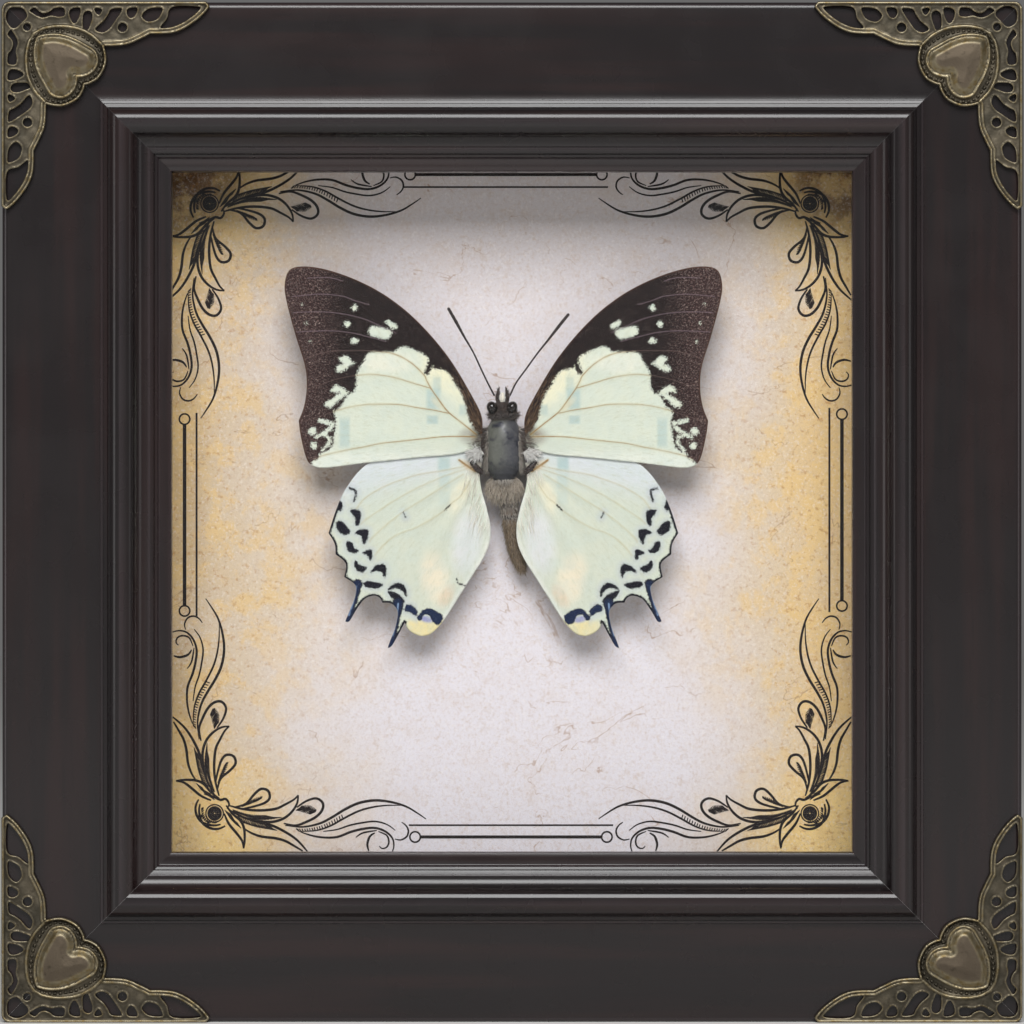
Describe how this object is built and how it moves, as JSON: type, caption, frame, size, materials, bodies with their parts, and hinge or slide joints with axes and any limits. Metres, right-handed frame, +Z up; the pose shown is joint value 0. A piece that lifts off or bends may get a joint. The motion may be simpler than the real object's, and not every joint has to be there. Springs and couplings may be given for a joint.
{
  "type": "framed butterfly specimen",
  "caption": "Square shadow box with a dark mitred wood moulding, pierced brass corners and a printed backing, holding one spread and pinned butterfly behind glass.",
  "frame": {"origin": "centre of the bounding box at its bottom, on the underside of the bottom rail", "axes": "+Z up, front of the frame faces -Y, +X to the right seen from the front"},
  "size_m": [0.2, 0.0396, 0.2],
  "materials": {
    "stained_wood": "dark walnut-stained moulding, satin lacquer",
    "aged_brass": "pressed pierced brass with a grey-brown patina, edges rubbed brighter",
    "clear_glass": "clear picture glass",
    "dark_card": "dark spacer strips",
    "parchment_print": "aged mottled parchment-look paper printed with a dark leaf and scroll border",
    "foam_core": "soft foam mounting board",
    "hardboard": "brown hardboard",
    "zinc_steel": "zinc-plated steel tabs",
    "brassed_steel": "brass-plated pressed steel",
    "insect_fur": "chitin under grey, brown and cream hair",
    "wing_scales": "scaled wing membrane, pale greenish white with dark brown borders and spots",
    "dark_horn": "dark horny antennae",
    "pin_steel": "blackened steel pin"
  },
  "bodies": {
    "root": {"rail_top": "stained_wood", "rail_bottom": "stained_wood", "rail_left": "stained_wood", "rail_right": "stained_wood", "corner_top_left": "aged_brass", "corner_top_right": "aged_brass", "corner_bottom_left": "aged_brass", "corner_bottom_right": "aged_brass", "glass_pane": "clear_glass", "spacer_top": "dark_card", "spacer_bottom": "dark_card", "spacer_left": "dark_card", "spacer_right": "dark_card", "printed_backing": "parchment_print", "foam_board": "foam_core", "back_panel": "hardboard", "back_tab_top_1": "zinc_steel", "back_tab_top_2": "zinc_steel", "back_tab_right_1": "zinc_steel", "back_tab_right_2": "zinc_steel", "back_tab_bottom_1": "zinc_steel", "back_tab_bottom_2": "zinc_steel", "back_tab_left_1": "zinc_steel", "back_tab_left_2": "zinc_steel", "sawtooth_hanger": "brassed_steel", "hanger_nail_left": "brassed_steel", "hanger_nail_right": "brassed_steel", "head": "insect_fur", "thorax": "insect_fur", "abdomen": "insect_fur", "forewing_left": "wing_scales", "forewing_right": "wing_scales", "hindwing_left": "wing_scales", "hindwing_right": "wing_scales", "antenna_left": "dark_horn", "antenna_right": "dark_horn", "specimen_pin": "pin_steel"}
  },
  "joints": []
}
